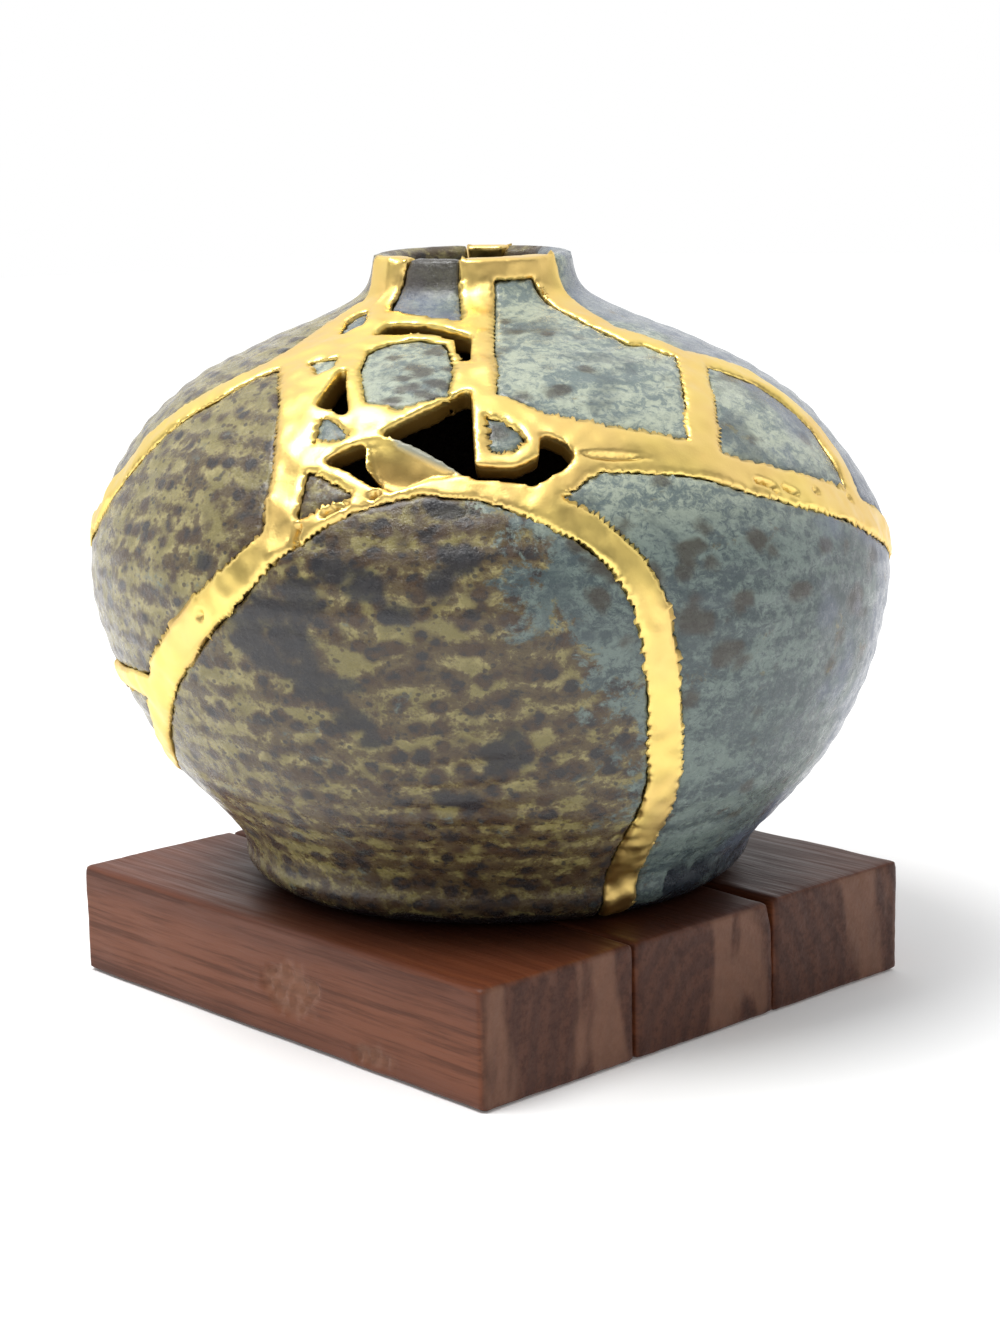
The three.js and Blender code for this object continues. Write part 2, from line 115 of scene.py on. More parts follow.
@dataclass(frozen=True)
class Wall:
    """The turned wall of the vase, in millimetres.

    Attributes:
        outline: radius and height of the outer face, from foot to mouth.
        thickness: depth of the wall.
        base_height: height of the boards under the foot.
        foot_shift: how far the foot stands to the right of the neck.
        foot_swell: how far the foot swells back to the left.
        swell_span: the two heights between which that swell dies out.
        shift_end: height at which the shift has died out.
        shift_power: how late it dies out.
        belly_height: height whose middle is over the origin.
        tip: forward tip of the mouth, in degrees.
        tip_start: height above which the mouth tips.
        samples: how many points of the outline are kept.
        batch: how many places are looked up at a time.
        table: for each sample its distance up the wall, radius, height and direction.
    """

    outline: tuple[tuple[float, float], ...] = (
        (60, 0), (66, 5), (68, 12), (76.5, 22), (86.6, 34), (94.2, 48), (99.6, 62), (102.8, 78),
        (101.9, 91), (97.3, 102), (91, 112), (82.4, 122), (70.5, 131), (56.5, 138), (41.6, 144),
        (31, 149), (27, 153), (25.4, 160),
    )
    thickness: float = 5.5
    base_height: float = 30.0
    foot_shift: float = 5.8
    foot_swell: float = 2.65
    swell_span: tuple[float, float] = (4.0, 20.6)
    shift_end: float = 130.0
    shift_power: float = 1.6
    belly_height: float = 82.0
    tip: float = 3.0
    tip_start: float = 135.0
    samples: int = 900
    batch: int = 20000
    table: np.ndarray = field(init=False, repr=False, compare=False)

    def __post_init__(self) -> None:
        """Samples the outline once, evenly enough to be searched."""
        points = np.array(self.outline, float)
        padded = np.vstack([points[0], points, points[-1]])
        spots = np.linspace(0, len(points) - 1, self.samples)
        lower = np.minimum(spots.astype(int), len(points) - 2)
        part = (spots - lower)[:, None]
        before, start, end, after = (padded[lower + i] for i in range(4))
        pull, push = (end - before) / 2, (after - start) / 2
        curve = (2 * start - 2 * end + pull + push) * part**3
        curve += (3 * end - 3 * start - 2 * pull - push) * part**2 + pull * part + start
        steps = np.hypot(*np.diff(curve, axis=0).T)
        along = np.concatenate([[0], np.cumsum(steps)])
        slope = np.gradient(curve, axis=0)
        slope /= np.linalg.norm(slope, axis=1)[:, None]
        object.__setattr__(self, "table", np.column_stack([along, curve, slope]))

    @property
    def length(self) -> float:
        """Distance up the wall from foot to mouth."""
        return float(self.table[-1, 0])

    def degree(self, along: np.ndarray | float) -> np.ndarray:
        """Millimetres round the outer wall for one degree."""
        return np.radians(np.interp(along, self.table[:, 0], self.table[:, 1]))

    def shift(self, height: np.ndarray) -> np.ndarray:
        """Sideways place of the centre line at each height above the foot."""
        def raw(at: np.ndarray | float) -> np.ndarray:
            """The shift measured from the neck."""
            leaned = 1 - np.clip(np.asarray(at) / self.shift_end, 0, 1) ** self.shift_power
            swollen = 1 - smooth(*self.swell_span, np.asarray(at))
            return self.foot_shift * leaned - self.foot_swell * swollen
        return raw(height) - raw(self.belly_height)

    def straighten(self, points: np.ndarray) -> np.ndarray:
        """Takes the lean and the tip out of points of the vase.

        Args:
            points: places in millimetres in the object's frame.

        Returns:
            The same places on the upright turned form, with the foot at height 0.
        """
        upright = points.copy()
        upright[:, 2] -= self.base_height
        depth = points @ TO_BACK
        slope = math.tan(math.radians(self.tip)) / (self.outline[-1][1] - self.tip_start)
        tipped = np.clip((upright[:, 2] - self.tip_start) / (1 + slope * depth), 0, None)
        most = self.outline[-1][1] - self.tip_start
        upright[:, 2] -= slope * depth * np.minimum(tipped, most)
        upright -= self.shift(upright[:, 2])[:, None] * TO_RIGHT
        return upright

    def lean(self, upright: np.ndarray) -> np.ndarray:
        """Puts the lean and the tip back into points of the upright form."""
        points = upright.copy()
        depth = upright @ TO_BACK
        most = self.outline[-1][1] - self.tip_start
        tipped = np.clip((upright[:, 2] - self.tip_start) / most, 0, 1)
        points += self.shift(upright[:, 2])[:, None] * TO_RIGHT
        points[:, 2] += self.base_height + depth * math.tan(math.radians(self.tip)) * tipped
        return points

    def locate(self, points: np.ndarray) -> tuple[np.ndarray, np.ndarray, np.ndarray]:
        """Finds where points lie on the wall.

        Args:
            points: places in millimetres in the object's frame.

        Returns:
            Degrees round from the front, millimetres up the wall, and depth below the outer face.
        """
        upright = self.straighten(points)
        radius = np.hypot(upright[:, 0], upright[:, 1])
        turn = np.degrees(np.arctan2(upright @ TO_RIGHT, -(upright @ TO_BACK)))
        along = np.empty(len(points))
        depth = np.empty(len(points))
        for start in range(0, len(points), self.batch):
            part = slice(start, start + self.batch)
            across = radius[part, None] - self.table[None, :, 1]
            up = upright[part, 2, None] - self.table[None, :, 2]
            near = np.argmin(across**2 + up**2, axis=1)
            rows = np.arange(len(near))
            slope = self.table[near, 3:5]
            gone_across, gone_up = across[rows, near], up[rows, near]
            along[part] = self.table[near, 0] + gone_across * slope[:, 0] + gone_up * slope[:, 1]
            depth[part] = -gone_across * slope[:, 1] + gone_up * slope[:, 0]
        return turn, along, depth

    def place(self, turn: np.ndarray, along: np.ndarray, depth: np.ndarray) -> np.ndarray:
        """Gives the points at places on the wall, in the object's frame."""
        inside = np.clip(along, 0, self.length)
        beyond = along - inside
        radius, height, across, up = (
            np.interp(inside, self.table[:, 0], self.table[:, column]) for column in range(1, 5)
        )
        radius = radius + across * beyond - up * depth
        height = height + up * beyond + across * depth
        angle = np.radians(turn)[:, None]
        upright = radius[:, None] * (np.sin(angle) * TO_RIGHT - np.cos(angle) * TO_BACK)
        upright[:, 2] = height
        return self.lean(upright)

    def outward(self, turn: np.ndarray, along: np.ndarray) -> np.ndarray:
        """Unit directions straight out of the wall."""
        zero = np.zeros(len(turn))
        gone = self.place(turn, along, zero - 1.0) - self.place(turn, along, zero)
        return gone / np.linalg.norm(gone, axis=1)[:, None]


WALL = Wall()


@dataclass(frozen=True)
class Patch:
    """An outlined place on the wall.

    Attributes:
        corners: degrees round from the front and millimetres up the wall.
    """

    corners: tuple[tuple[float, float], ...]

    def reach(self, turn: np.ndarray, along: np.ndarray) -> np.ndarray:
        """Measures how deep inside the outline places lie.

        Args:
            turn: degrees round from the front.
            along: millimetres up the wall.

        Returns:
            Millimetres to the nearest edge, negative outside.
        """
        corners = np.array(self.corners, float)
        scale = np.array([WALL.degree(corners[:, 1].mean()), 1.0])
        spots = np.column_stack([turn, along]) * scale
        nearest = np.full(len(turn), np.inf)
        inside = np.zeros(len(turn), bool)
        for start, end in zip(corners * scale, np.roll(corners, -1, axis=0) * scale):
            way = end - start
            part = np.clip((spots - start) @ way / (way @ way), 0, 1)
            nearest = np.minimum(nearest, np.hypot(*(spots - start - part[:, None] * way).T))
            crossed = (start[1] > spots[:, 1]) != (end[1] > spots[:, 1])
            rise = way[1] if way[1] else 1e-9
            inside ^= crossed & (spots[:, 0] < start[0] + way[0] * (spots[:, 1] - start[1]) / rise)
        return np.where(inside, nearest, -nearest)


# Spots are this much wider than high, and fade over this share of their radius
BLOT_WIDTH = 1.25
BLOT_EDGE = 0.25


def blots(places: tuple, turn: np.ndarray, along: np.ndarray, seed: int) -> np.ndarray:
    """Marks ragged round spots on the wall.

    Args:
        places: degrees, millimetres up the wall, and radius in millimetres of each.
        turn: degrees round from the front of the points.
        along: millimetres up the wall of the points.
        seed: start of the random draws of their ragged edges.

    Returns:
        1 in the spots and 0 away from them.
    """
    degree = WALL.degree(along)
    ragged = 0.3 * Ripple(seed, 7).at(np.column_stack([turn * degree * 0.7, along]))
    total = np.zeros(len(turn))
    for angle, up, radius in places:
        away = np.hypot((turn - angle) * degree / BLOT_WIDTH, along - up) / radius
        total = np.maximum(total, smooth(1 + BLOT_EDGE, 1 - BLOT_EDGE, away + ragged))
    return total


def coordinates(mesh: bpy.types.Mesh) -> np.ndarray:
    """Vertex places of a mesh, in millimetres."""
    flat = np.empty(len(mesh.vertices) * 3)
    mesh.vertices.foreach_get("co", flat)
    return flat.reshape(-1, 3) / MM


def set_coordinates(mesh: bpy.types.Mesh, points: np.ndarray) -> None:
    """Moves the vertices of a mesh to places in millimetres."""
    mesh.vertices.foreach_set("co", (points * MM).ravel())
    mesh.update()


def normals(mesh: bpy.types.Mesh) -> np.ndarray:
    """Vertex normals of a mesh."""
    flat = np.empty(len(mesh.vertices) * 3)
    mesh.vertex_normals.foreach_get("vector", flat)
    return flat.reshape(-1, 3)


def store(mesh: bpy.types.Mesh, name: str, values: np.ndarray) -> None:
    """Keeps one number for each vertex as a named attribute."""
    layer = mesh.attributes.new(name, "FLOAT", "POINT")
    layer.data.foreach_set("value", values.astype(np.float32))


def refined_copy(node: str, edge: float) -> bmesh.types.BMesh:
    """Copies a node's mesh, merges its loose triangles and splits its long edges.

    Args:
        node: name of the node.
        edge: longest edge left, in millimetres.

    Returns:
        A bmesh that the caller frees.
    """
    shape = bmesh.new()
    shape.from_mesh(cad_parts[node].data)
    bmesh.ops.remove_doubles(shape, verts=shape.verts, dist=DOUBLES * MM)
    for _ in range(SPLIT_ROUNDS):
        long = [e for e in shape.edges if e.calc_length() > edge * MM]
        if not long:
            break
        bmesh.ops.subdivide_edges(shape, edges=long, cuts=1)
        bmesh.ops.triangulate(shape, faces=[f for f in shape.faces if len(f.verts) > 3])
    return shape


def new_object(name: str, shape: bmesh.types.BMesh) -> bpy.types.Object:
    """Makes an object of a bmesh and frees the bmesh."""
    mesh = bpy.data.meshes.new(name)
    shape.to_mesh(mesh)
    shape.free()
    thing = bpy.data.objects.new(name, mesh)
    bpy.context.scene.collection.objects.link(thing)
    return thing


def round_out(shape: bmesh.types.BMesh, out: float, inward: float) -> None:
    """Moves the flat facets of a wall piece onto the true curve.

    Args:
        shape: the piece, in metres.
        out: how far its outer face stands out of the wall, in millimetres.
        inward: the same at the inner face.
    """
    points = np.array([v.co for v in shape.verts]) / MM
    turn, along, depth = WALL.locate(points)
    outward = WALL.outward(turn, along)
    facing = np.zeros((len(points), 2), bool)
    shape.verts.index_update()
    shape.normal_update()
    for face in shape.faces:
        normal = np.array(face.normal)
        for vert in face.verts:
            dot = normal @ outward[vert.index]
            facing[vert.index] |= (dot > FACING_WALL, dot < -FACING_WALL)
    below_rim = along < WALL.length - RIM_MARGIN
    outer = facing[:, 0] & below_rim & (depth < OUTER_DEPTH) & (along > 0.5)
    inner = facing[:, 1] & below_rim & (depth > OUTER_DEPTH) & (depth < INNER_DEPTH) & (along > INNER_START)
    depth = np.where(outer, -out, np.where(inner, WALL.thickness + inward, depth))
    moved = WALL.place(turn, along, depth)
    points = np.where((outer | inner)[:, None], moved, points)
    for vert, place in zip(shape.verts, points):
        vert.co = Vector(place * MM)


def remesh(thing: bpy.types.Object, size: float, relax: int) -> None:
    """Rebuilds a closed piece from even small faces.

    Args:
        thing: the piece.
        size: edge of a face, in millimetres.
        relax: how many passes of smoothing follow.
    """
    voxels = thing.modifiers.new("even", "REMESH")
    voxels.mode = "VOXEL"
    voxels.voxel_size = size * MM
    if relax:
        ease = thing.modifiers.new("ease", "SMOOTH")
        ease.factor = 0.5
        ease.iterations = relax
    graph = bpy.context.evaluated_depsgraph_get()
    even = bpy.data.meshes.new_from_object(thing.evaluated_get(graph))
    old = thing.data
    thing.modifiers.clear()
    thing.data = even
    bpy.data.meshes.remove(old)
    even.shade_smooth()


class Sockets:
    """Short ways to add nodes to one material."""

    def __init__(self, name: str) -> None:
        """Starts a material with one surface shader.

        Args:
            name: name of the material.
        """
        self.material = bpy.data.materials.new(name)
        self.material.use_nodes = True
        self.tree = self.material.node_tree
        self.shader = self.tree.nodes["Principled BSDF"]
        self.place = self.add("ShaderNodeTexCoord").outputs["Object"]

    def add(self, kind: str, **values: object) -> bpy.types.Node:
        """Adds a node and sets its own properties."""
        node = self.tree.nodes.new(kind)
        for name, value in values.items():
            setattr(node, name, value)
        return node

    def feed(self, socket: bpy.types.NodeSocket, value: object) -> None:
        """Links a socket to another, or sets it to a value."""
        if isinstance(value, bpy.types.NodeSocket):
            self.tree.links.new(value, socket)
        else:
            socket.default_value = value

    def stretched(self, scale: tuple[float, float, float], turn: float = 0.0) -> bpy.types.NodeSocket:
        """Object places turned about +Z and scaled from metres to pattern units."""
        turned = self.add("ShaderNodeMapping")
        turned.inputs["Rotation"].default_value = (0, 0, turn)
        self.feed(turned.inputs["Vector"], self.place)
        sized = self.add("ShaderNodeMapping")
        sized.inputs["Scale"].default_value = scale
        self.feed(sized.inputs["Vector"], turned.outputs["Vector"])
        return sized.outputs["Vector"]

    def noise(
        self, vector: object, scale: float, detail: float = 3, rough: float = 0.5, warp: float = 0,
    ) -> object:
        """A noise between 0 and 1."""
        node = self.add("ShaderNodeTexNoise")
        self.feed(node.inputs["Vector"], vector)
        node.inputs["Scale"].default_value = scale
        node.inputs["Detail"].default_value = detail
        node.inputs["Roughness"].default_value = rough
        node.inputs["Distortion"].default_value = warp
        return node.outputs["Fac"]

    def cells(self, vector: object, scale: float) -> object:
        """Distance to the nearest of a set of scattered points."""
        node = self.add("ShaderNodeTexVoronoi", feature="SMOOTH_F1")
        self.feed(node.inputs["Vector"], vector)
        node.inputs["Scale"].default_value = scale
        node.inputs["Smoothness"].default_value = 0.35
        return node.outputs["Distance"]

    def span(self, value: object, low: float, high: float, start: float = 0.0, end: float = 1.0) -> object:
        """Maps a range of values softly onto another."""
        node = self.add("ShaderNodeMapRange", interpolation_type="SMOOTHSTEP")
        self.feed(node.inputs["Value"], value)
        for name, what in (("From Min", low), ("From Max", high), ("To Min", start), ("To Max", end)):
            node.inputs[name].default_value = what
        return node.outputs["Result"]

    def sum(self, first: object, second: object, operation: str = "ADD") -> object:
        """Joins two values by an arithmetic operation."""
        node = self.add("ShaderNodeMath", operation=operation)
        self.feed(node.inputs[0], first)
        self.feed(node.inputs[1], second)
        return node.outputs[0]

    def blend(self, share: object, first: object, second: object) -> object:
        """Mixes two colours."""
        node = self.add("ShaderNodeMix", data_type="RGBA")
        self.feed(node.inputs["Factor"], share)
        self.feed(node.inputs[6], first)
        self.feed(node.inputs[7], second)
        return node.outputs[2]

    def kept(self, name: str) -> object:
        """A number stored on the vertices."""
        return self.add("ShaderNodeAttribute", attribute_name=name).outputs["Fac"]

    def relief(self, height: object, strength: float, distance: float) -> None:
        """Adds a fine bump, its distance in millimetres."""
        node = self.add("ShaderNodeBump")
        node.inputs["Strength"].default_value = strength
        node.inputs["Distance"].default_value = distance * MM
        self.feed(node.inputs["Height"], height)
        self.feed(self.shader.inputs["Normal"], node.outputs["Normal"])


def colour(red: int, green: int, blue: int) -> tuple[float, float, float, float]:
    """A screen colour as linear light."""
    def linear(value: int) -> float:
        """One channel."""
        part = value / 255
        return part / 12.92 if part <= 0.04045 else ((part + 0.055) / 1.055) ** 2.4
    return (linear(red), linear(green), linear(blue), 1.0)


@dataclass(frozen=True)
class Glaze:
    """The speckled olive and pale green stoneware glaze."""

    olive: tuple = colour(124, 115, 72)
    olive_light: tuple = colour(164, 153, 104)
    brown: tuple = colour(70, 54, 40)
    charcoal: tuple = colour(42, 42, 45)
    slate: tuple = colour(70, 82, 84)
    # painted light: a lit copy of the slate, for the upper shoulder under the top light
    slate_painted_lit: tuple = colour(112, 126, 124)
    celadon: tuple = colour(112, 126, 120)
    # painted light: a lit copy of the green, for the upper shoulder under the top light
    celadon_painted_lit: tuple = colour(176, 184, 164)
    rust: tuple = colour(62, 54, 44)
    lavender: tuple = colour(96, 104, 130)
    navy: tuple = colour(30, 38, 46)
    bare: tuple = colour(70, 58, 48)

    def olive_side(self, s: Sockets, streaks: object) -> object:
        """The khaki side, mostly hidden by brown and charcoal spots.

        Args:
            s: the material's sockets.
            streaks: places drawn out along the throwing rings.

        Returns:
            The colour socket.
        """
        ground = s.blend(s.span(s.noise(streaks, 0.12, 4, 0.6), 0.38, 0.62), self.olive, self.olive_light)
        bias = s.sum(s.sum(s.kept("ring"), 0.045, "MULTIPLY"), s.kept("cover"))
        blot = s.sum(s.noise(streaks, 0.12, 6, 0.72, 0.2), bias)
        stained = s.blend(s.sum(s.span(blot, 0.46, 0.58), 0.85, "MULTIPLY"), ground, self.brown)
        ragged = s.sum(s.noise(streaks, 0.5, 4, 0.6), 0.3, "MULTIPLY")
        near = s.sum(s.sum(s.cells(streaks, 0.21), ragged), s.sum(bias, 1.6, "MULTIPLY"), "SUBTRACT")
        spots = s.span(near, 0.38, 0.50, 1.0, 0.0)
        fine = s.span(s.sum(s.cells(streaks, 0.42), ragged), 0.34, 0.44, 0.8, 0.0)
        ringed = s.blend(s.sum(s.span(near, 0.46, 0.68, 1.0, 0.0), 0.6, "MULTIPLY"), stained, self.brown)
        dark = s.sum(s.sum(spots, fine, "MAXIMUM"), s.span(blot, 0.60, 0.70), "MAXIMUM")
        tone = s.blend(s.span(s.noise(streaks, 0.3, 3), 0.4, 0.6), self.charcoal, self.brown)
        spotted = s.blend(s.sum(dark, 0.92, "MULTIPLY"), ringed, tone)
        return s.blend(s.sum(s.kept("patch"), 0.92, "MULTIPLY"), spotted, self.charcoal)

    def celadon_side(self, s: Sockets, streaks: object) -> object:
        """The pale green side, curdled over slate.

        Args:
            s: the material's sockets.
            streaks: places drawn out along the throwing rings.

        Returns:
            The colour socket.
        """
        drawn = s.stretched((400, 400, 1300), -FRONT_AZIMUTH)
        curd = s.sum(s.noise(streaks, 0.42, 6, 0.8, 0.6), 1.7, "MULTIPLY")
        curd = s.sum(curd, s.noise(drawn, 0.10, 4, 0.65, 0.3))
        share = s.span(s.sum(curd, 0.37, "MULTIPLY"), 0.44, 0.56)
        # painted top light: the kept height share swaps in the lit copies of the slate and the green
        high = s.kept("high")
        under = s.blend(high, self.slate, self.slate_painted_lit)
        ground = s.blend(share, under, s.blend(high, self.celadon, self.celadon_painted_lit))
        # random slate drifts in the glaze itself
        slate_drift = s.span(s.noise(streaks, 0.05, 5, 0.68, 0.4), 0.50, 0.66, 0.0, 0.7)
        darkened = s.blend(slate_drift, ground, self.slate)
        ragged = s.sum(s.noise(streaks, 0.35, 4, 0.6), 0.4, "MULTIPLY")
        rust = s.span(s.sum(s.cells(streaks, 0.09), ragged), 0.30, 0.50, 0.7, 0.0)
        rusty = s.blend(s.sum(rust, s.kept("patch"), "MAXIMUM"), darkened, self.rust)
        far = s.sum(s.kept("lavender"), s.span(s.noise(streaks, 0.06, 3), 0.3, 0.7, -0.35, 0.35))
        return s.blend(s.sum(s.span(far, 0.25, 0.9), 0.65, "MULTIPLY"), rusty, self.lavender)

    def make(self) -> bpy.types.Material:
        """Builds the glaze."""
        s = Sockets("stoneware_glaze")
        streaks = s.stretched((880, 880, 1080), -FRONT_AZIMUTH)
        edge = s.span(s.noise(streaks, 0.09, 6, 0.75, 0.3), 0.25, 0.75, -0.6, 0.6)
        side = s.span(s.sum(s.kept("celadon"), edge), 0.34, 0.66)
        body = s.blend(side, self.olive_side(s, streaks), self.celadon_side(s, streaks))
        patchy = s.sum(s.kept("foot"), s.span(s.noise(streaks, 0.09, 4, 0.6), 0.3, 0.7, -0.4, 0.4))
        footed = s.blend(s.span(patchy, 0.3, 1.0), body, s.blend(side, self.charcoal, self.navy))
        smoked = s.blend(s.kept("smoke"), footed, self.rust)
        deep = s.sum(s.kept("inside"), s.kept("throat"), "SUBTRACT")
        s.feed(s.shader.inputs["Base Color"], s.blend(deep, smoked, self.bare))
        s.feed(s.shader.inputs["Roughness"], s.span(s.noise(streaks, 0.25, 5, 0.7), 0.35, 0.7, 0.14, 0.5))
        s.shader.inputs["Specular IOR Level"].default_value = 0.45
        s.shader.inputs["Coat Weight"].default_value = 0.2
        s.shader.inputs["Coat Roughness"].default_value = 0.15
        pits = s.sum(s.noise(streaks, 0.9, 5, 0.7), s.sum(s.noise(streaks, 0.2, 4), 2.0, "MULTIPLY"))
        s.relief(pits, 0.6, 0.4)
        return s.material


@dataclass(frozen=True)
class Gold:
    """Satin gold laid over lumpy filler."""

    bright: tuple = (0.95, 0.72, 0.22, 1.0)
    tan: tuple = (0.90, 0.64, 0.22, 1.0)
    # painted shade: dark brown for the walls of the openings and the sunk places, standing in for their
    # real shadow
    shade: tuple = (0.20, 0.11, 0.02, 1.0)
    glazed: tuple = colour(150, 150, 132)

    def make(self) -> bpy.types.Material:
        """Builds the gold."""
        s = Sockets("mending_gold")
        place = s.stretched((1000, 1000, 1000))
        tone = s.blend(s.span(s.noise(place, 0.04, 3), 0.38, 0.62), self.tan, self.bright)
        # painted shade: the hollow share darkens the gold down the opening walls and in the sunk places
        darkened = s.blend(s.kept("hollow_shade"), tone, self.shade)
        s.feed(s.shader.inputs["Base Color"], s.blend(s.kept("glazed"), darkened, self.glazed))
        # the painted-shade places also lose metal, so their dark brown reads as flat shade
        bare = s.sum(s.kept("hollow_shade"), 0.55, "MULTIPLY")
        dull = s.sum(bare, s.kept("glazed"), "MAXIMUM")
        s.feed(s.shader.inputs["Metallic"], s.span(dull, 0.0, 1.0, 1.0, 0.0))
        s.feed(s.shader.inputs["Roughness"], s.span(s.noise(place, 0.2, 4), 0.3, 0.7, 0.30, 0.46))
        fine = s.sum(s.noise(place, 2.0, 2), 0.3, "MULTIPLY")
        s.relief(s.sum(s.noise(place, 0.3, 4, 0.6), fine), 0.22, 0.3)
        return s.material


@dataclass(frozen=True)
class Wood:
    """Oiled reddish wood, its growth rings about a line along the board."""

    name: str
    heart: tuple[float, float]
    light: tuple = colour(122, 70, 44)
    mid: tuple = colour(92, 48, 28)
    dark: tuple = colour(44, 20, 12)
    # painted light: a redder, darker copy for the top faces, standing in for warm bounce light from the
    # gold
    top: tuple = colour(100, 48, 24)
    pale: tuple = colour(140, 100, 78)

    def make(self) -> bpy.types.Material:
        """Builds the wood."""
        s = Sockets(self.name)
        rings = s.add("ShaderNodeMapping")
        rings.inputs["Location"].default_value = (0, -self.heart[0], -self.heart[1])
        rings.inputs["Scale"].default_value = (25, 1000, 1000)
        s.feed(rings.inputs["Vector"], s.place)
        wave = s.add("ShaderNodeTexWave", wave_type="RINGS", rings_direction="X")
        s.feed(wave.inputs["Vector"], rings.outputs["Vector"])
        wave.inputs["Scale"].default_value = 0.05
        wave.inputs["Distortion"].default_value = 5.0
        wave.inputs["Detail"].default_value = 3.0
        wave.inputs["Detail Scale"].default_value = 0.6
        grain = s.noise(s.stretched((30, 900, 900)), 0.6, 5, 0.7)
        tone = s.blend(s.span(wave.outputs["Fac"], 0.1, 0.9, 0.2, 0.8), self.mid, self.light)
        lined = s.blend(s.span(grain, 0.42, 0.66, 0.0, 0.5), tone, self.dark)
        # painted bounce light: upward faces take the redder top copy
        upper = s.blend(s.sum(s.kept("upward_painted_bounce"), 0.55, "MULTIPLY"), lined, self.top)
        ended = s.blend(s.sum(s.kept("end"), 0.6, "MULTIPLY"), upper, self.dark)
        bands = s.span(s.noise(s.stretched((200, 120, 40), 0.5), 0.5, 3), 0.5, 0.62)
        banded = s.sum(s.sum(bands, s.kept("end"), "MULTIPLY"), 0.5, "MULTIPLY")
        streaked = s.blend(banded, ended, self.pale)
        worn = s.blend(s.kept("worn"), streaked, self.pale)
        s.feed(s.shader.inputs["Base Color"], s.blend(s.kept("shade"), worn, self.dark))
        s.feed(s.shader.inputs["Roughness"], s.span(grain, 0.3, 0.7, 0.36, 0.58))
        s.shader.inputs["Specular IOR Level"].default_value = 0.3
        s.relief(s.sum(grain, s.noise(s.stretched((60, 500, 500)), 2.0, 3)), 0.35, 0.3)
        return s.material


CHARCOAL_BLOTS = (
    (-33.6, 94, 4.2), (-29.5, 96.8, 4.5), (-26.9, 90, 5.0), (-30.9, 86, 4.0), (-24.9, 81, 5.0),
    (-21.6, 78.7, 4.0), (-20.4, 71, 3.6), (-0.5, 62, 4.5), (-7.5, 49, 3.6), (-15.4, 103, 4.0),
    (-25, 98, 4.5), (-6.5, 104.6, 3.5), (-3.9, 109, 3.5), (-24.9, 101.8, 4.0), (-20.7, 106.5, 3.4),
    (-5.5, 121, 3.0), (-11.8, 95.7, 3.0), (-18.1, 66, 2.6), (-6.8, 48.6, 3.6), (0.2, 63.7, 4.6),
    (-33.2, 87.1, 3.4), (-40.3, 106.9, 2.4),
)
RUST_BLOTS = (
    (16, 105.5, 4.0), (26.4, 108.7, 3.2), (26.6, 92.8, 4.2), (20.3, 93.8, 2.6), (12, 112, 2.6),
    (31, 84, 3.2), (44, 96, 2.8), (58, 90, 3.4), (66, 100, 2.6), (38, 110, 2.4), (16.2, 113.6, 2.4),
    (20.8, 103.8, 2.2), (33.7, 96, 2.4), (13.2, 99.1, 2.4), (25.8, 73.5, 2.0), (51.6, 105.2, 2.2),
    (-9.9, 175.4, 2.4), (-12.2, 163.3, 2.2), (-14.1, 161.5, 1.8), (-10.2, 163.9, 1.8), (-6.2, 164.7, 1.7),
    (-7.9, 158.8, 1.9), (-10.1, 155, 1.7), (-5.6, 157.1, 1.7), (-7.7, 152.8, 1.7), (-11.8, 157.2, 1.8),
    (-15.3, 152.2, 1.8), (-13.6, 156.5, 1.6), (-19.8, 171.7, 1.5), (22.1, 183, 1.4), (15.8, 155.1, 2.0),
    (23.6, 162.4, 1.6), (10.8, 190.9, 1.4),
)


@dataclass(frozen=True)
class Tint:
    """How one shard's glaze departs from that of the wall about it.

    Attributes:
        celadon: share of the green side, or None to follow the wall.
        lavender: share of lavender added.
        high: how far the green takes its painted lit copy, or None to follow the wall's painted top light.
    """

    celadon: float | None = None
    lavender: float = 0.0
    high: float | None = None


TINTS = {
    "shard_left_sliver": Tint(1.0, 0.5, 1.0),
    "shard_left_chip": Tint(1.0, 0.3, 1.0),
    "shard_upper_triangle": Tint(0.9, 0.2, 0.6),
    "shard_centre_small": Tint(1.0, 0.0, 0.9),
    "shard_neck_front": Tint(1.0, 0.8, 0.8),
    "shard_oval": Tint(1.0, 0.0, 0.9),
}


